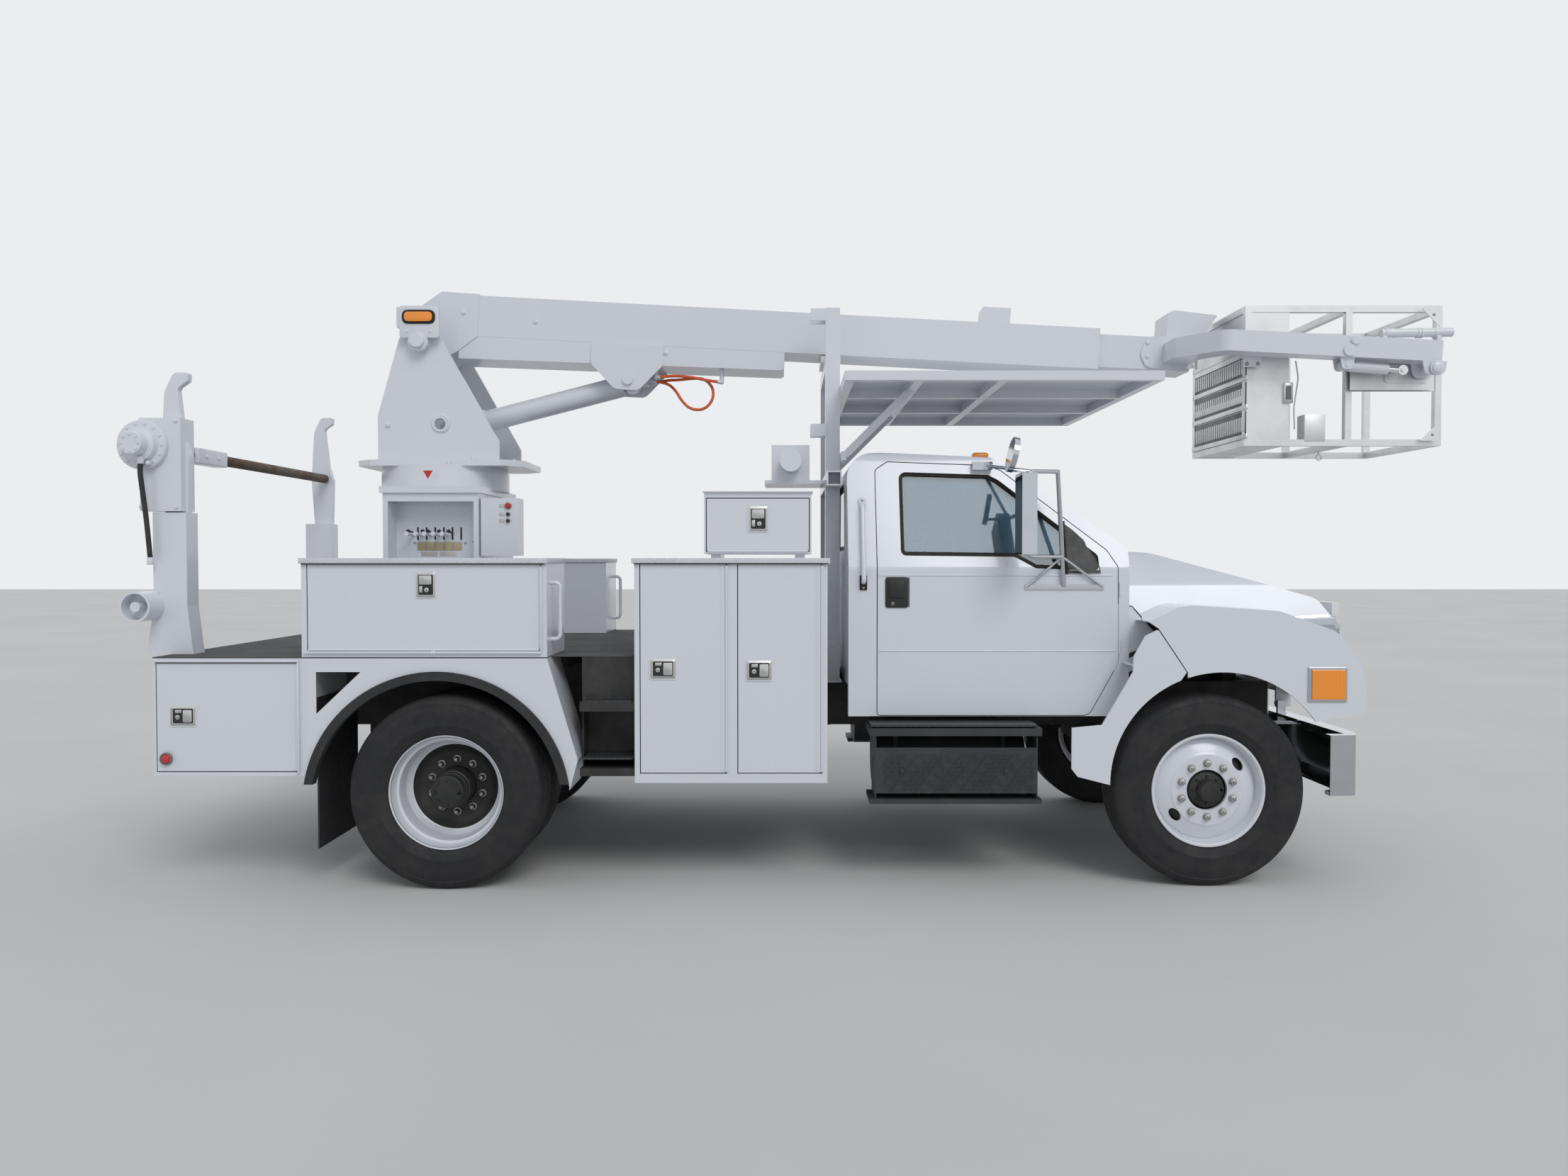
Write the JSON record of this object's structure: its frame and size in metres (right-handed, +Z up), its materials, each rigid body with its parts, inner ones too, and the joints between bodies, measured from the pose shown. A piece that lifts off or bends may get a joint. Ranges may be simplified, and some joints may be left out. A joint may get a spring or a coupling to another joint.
{
  "type": "cherry picker truck",
  "caption": "Two-axle service truck with a turntable, telescopic boom and tilting work platform over its cab, side tool boxes, reel stands and a rear capstan.",
  "frame": {"origin": "on the floor under the middle of the truck's outer box", "axes": "+X forward along the truck, +Y to the truck's left, +Z up"},
  "size_m": [7.4138, 2.62, 3.3723],
  "materials": {
    "white_paint": "glossy white paint",
    "black_paint": "satin black paint",
    "wheel_paint": "glossy white paint",
    "tyre": "matt rubber",
    "black_rubber": "matt rubber",
    "deck_coat": "rough dark grip coat",
    "bare_aluminium": "weathered, dull",
    "chrome": "bright",
    "steel": "worn steel",
    "glass": "clear, faintly tinted",
    "lamp_lens": "clear lens",
    "grey_plastic": "matt",
    "hose_cover": "orange-red hose cover",
    "rod_chrome": "bright cylinder rod",
    "rusty_steel": "dull brown steel"
  },
  "bodies": {
    "truck": {"arch_rubbers": "black_rubber", "body_steps": "black_paint", "boom_rest": "white_paint", "cab_glass": "glass", "cab_guard": "bare_aluminium", "cab_interior": "grey_plastic", "cab_shell": "white_paint", "chassis_frame": "black_paint", "driveline": "black_paint", "front_axle": "black_paint", "front_bumper": "chrome", "pedestal": "white_paint", "rear_axle": "black_paint", "reel_spindle": "rusty_steel", "reel_stands": "white_paint", "service_deck": "deck_coat", "side_body_left": "white_paint", "side_body_right": "white_paint", "side_steps": "black_paint", "tall_cabinet_left": "white_paint", "tall_cabinet_right": "white_paint"},
    "turret": {"turntable": "white_paint"},
    "boom": {"boom_base": "white_paint", "hose_feed": "hose_cover"},
    "boom_extension": {"boom_tip": "white_paint", "platform_arm": "white_paint"},
    "lift_barrel_body": {"lift_barrel": "white_paint", "hose_loop": "hose_cover"},
    "lift_rod_body": {"lift_rod": "rod_chrome"},
    "platform": {"basket": "bare_aluminium"},
    "level_barrel_body": {"level_barrel": "white_paint"},
    "level_rod_body": {"level_rod": "rod_chrome"},
    "hood_body": {"hood": "white_paint", "grille": "chrome", "front_lamps": "lamp_lens"},
    "top_bin_door_body": {"top_bin_door": "white_paint"},
    "front_wheel_right_body": {"front_tyre_right": "tyre", "front_wheel_right": "wheel_paint"},
    "rear_wheels_right_body": {"rear_tyres_right": "tyre", "rear_wheels_right": "wheel_paint"},
    "steering_right_body": {"knuckle_right": "black_paint"},
    "cab_door_right_body": {"door_right": "white_paint", "door_glass_right": "glass", "mirror_right": "chrome"},
    "rear_bin_door_right_body": {"rear_bin_door_right": "white_paint"},
    "wheel_bin_door_right_body": {"wheel_bin_door_right": "white_paint"},
    "cabinet_rear_door_right_body": {"cabinet_rear_door_right": "white_paint"},
    "cabinet_front_door_right_body": {"cabinet_front_door_right": "white_paint"},
    "front_wheel_left_body": {"front_tyre_left": "tyre", "front_wheel_left": "wheel_paint"},
    "rear_wheels_left_body": {"rear_tyres_left": "tyre", "rear_wheels_left": "wheel_paint"},
    "steering_left_body": {"knuckle_left": "black_paint"},
    "cab_door_left_body": {"door_left": "white_paint", "door_glass_left": "glass", "mirror_left": "chrome"},
    "rear_bin_door_left_body": {"rear_bin_door_left": "white_paint"},
    "wheel_bin_door_left_body": {"wheel_bin_door_left": "white_paint"},
    "cabinet_rear_door_left_body": {"cabinet_rear_door_left": "white_paint"},
    "cabinet_front_door_left_body": {"cabinet_front_door_left": "white_paint"}
  },
  "joints": [
    {"name": "boom_swing", "type": "hinge", "parent": "truck", "child": "turret", "pos_m": [-2.265, 0, 2.3], "axis": [0, 0, 1], "range_deg": [0, 335]},
    {"name": "boom_lift", "type": "hinge", "parent": "turret", "child": "boom", "pos_m": [-2.325, 0, 3.039], "axis": [0, -1, 0], "range_deg": [0, 76]},
    {"name": "boom_telescope", "type": "slide", "parent": "boom", "child": "boom_extension", "axis": [0.9986, 0, -0.0523], "range_m": [0, 3]},
    {"name": "lift_barrel_turn", "type": "hinge", "parent": "boom", "child": "lift_barrel_body", "pos_m": [-1.102, 0, 2.836], "axis": [0, -1, 0], "range_deg": [-14.01, 0.5]},
    {"name": "lift_rod_slide", "type": "slide", "parent": "lift_barrel_body", "child": "lift_rod_body", "axis": [-0.9685, 0, -0.2491], "range_m": [0, 0.52683]},
    {"name": "platform_tilt", "type": "hinge", "parent": "boom_extension", "child": "platform", "pos_m": [3.568, -0.575, 2.829], "axis": [0, -1, 0], "range_deg": [0, 90]},
    {"name": "level_barrel_turn", "type": "hinge", "parent": "boom_extension", "child": "level_barrel_body", "pos_m": [3.072, -0.575, 2.852], "axis": [0, -1, 0], "range_deg": [-16.39, 0.5]},
    {"name": "level_rod_slide", "type": "slide", "parent": "level_barrel_body", "child": "level_rod_body", "axis": [0.997, 0, -0.0776], "range_m": [0, 0.19918]},
    {"name": "steering_right", "type": "hinge", "parent": "truck", "child": "steering_right_body", "pos_m": [2.105, -0.895, 0.511], "axis": [0, 0, 1], "range_deg": [-35, 35]},
    {"name": "front_wheel_spin_right", "type": "hinge", "parent": "steering_right_body", "child": "front_wheel_right_body", "pos_m": [2.105, -1.029, 0.511], "axis": [0, 1, 0], "continuous": true},
    {"name": "rear_wheels_spin_right", "type": "hinge", "parent": "truck", "child": "rear_wheels_right_body", "pos_m": [-1.925, -0.927, 0.511], "axis": [0, 1, 0], "continuous": true},
    {"name": "cab_door_right_swing", "type": "hinge", "parent": "truck", "child": "cab_door_right_body", "pos_m": [1.664, -1.017, 1.5], "axis": [0, 0, 1], "range_deg": [0, 50]},
    {"name": "rear_bin_door_right_swing", "type": "hinge", "parent": "truck", "child": "rear_bin_door_right_body", "pos_m": [-2.6925, -1.227, 0.9125], "axis": [0, 0, 1], "range_deg": [0, 110]},
    {"name": "cabinet_rear_door_right_swing", "type": "hinge", "parent": "truck", "child": "cabinet_rear_door_right_body", "pos_m": [-0.4485, -1.227, 1.167], "axis": [0, 0, 1], "range_deg": [0, 110]},
    {"name": "cabinet_front_door_right_swing", "type": "hinge", "parent": "truck", "child": "cabinet_front_door_right_body", "pos_m": [0.0495, -1.227, 1.167], "axis": [0, 0, 1], "range_deg": [0, 110]},
    {"name": "wheel_bin_door_right_drop", "type": "hinge", "parent": "truck", "child": "wheel_bin_door_right_body", "pos_m": [-2.026, -1.227, 1.2665], "axis": [1, 0, 0], "range_deg": [0, 90]},
    {"name": "steering_left", "type": "hinge", "parent": "truck", "child": "steering_left_body", "pos_m": [2.105, 0.895, 0.511], "axis": [0, 0, 1], "range_deg": [-35, 35]},
    {"name": "front_wheel_spin_left", "type": "hinge", "parent": "steering_left_body", "child": "front_wheel_left_body", "pos_m": [2.105, 1.029, 0.511], "axis": [0, 1, 0], "continuous": true},
    {"name": "rear_wheels_spin_left", "type": "hinge", "parent": "truck", "child": "rear_wheels_left_body", "pos_m": [-1.925, 0.927, 0.511], "axis": [0, 1, 0], "continuous": true},
    {"name": "cab_door_left_swing", "type": "hinge", "parent": "truck", "child": "cab_door_left_body", "pos_m": [1.664, 1.017, 1.5], "axis": [0, 0, -1], "range_deg": [0, 50]},
    {"name": "rear_bin_door_left_swing", "type": "hinge", "parent": "truck", "child": "rear_bin_door_left_body", "pos_m": [-2.6925, 1.227, 0.9125], "axis": [0, 0, -1], "range_deg": [0, 110]},
    {"name": "cabinet_rear_door_left_swing", "type": "hinge", "parent": "truck", "child": "cabinet_rear_door_left_body", "pos_m": [-0.4485, 1.227, 1.167], "axis": [0, 0, -1], "range_deg": [0, 110]},
    {"name": "cabinet_front_door_left_swing", "type": "hinge", "parent": "truck", "child": "cabinet_front_door_left_body", "pos_m": [0.0495, 1.227, 1.167], "axis": [0, 0, -1], "range_deg": [0, 110]},
    {"name": "wheel_bin_door_left_drop", "type": "hinge", "parent": "truck", "child": "wheel_bin_door_left_body", "pos_m": [-2.026, 1.227, 1.2665], "axis": [-1, 0, 0], "range_deg": [0, 90]},
    {"name": "top_bin_door_drop", "type": "hinge", "parent": "truck", "child": "top_bin_door_body", "pos_m": [-0.286, -1.157, 1.7815], "axis": [1, 0, 0], "range_deg": [0, 90]},
    {"name": "hood_tilt", "type": "hinge", "parent": "truck", "child": "hood_body", "pos_m": [2.835, 0, 0.872], "axis": [0, 1, 0], "range_deg": [0, 60]}
  ],
  "couplings": [
    {"joint": "lift_barrel_turn", "follows": "boom_lift", "ratio": -0.17777},
    {"joint": "lift_rod_slide", "follows": "boom_lift", "m_per_rad": 0.39566},
    {"joint": "level_barrel_turn", "follows": "platform_tilt", "ratio": -0.17656},
    {"joint": "level_rod_slide", "follows": "platform_tilt", "m_per_rad": 0.12553},
    {"joint": "steering_left", "follows": "steering_right", "ratio": 1}
  ]
}
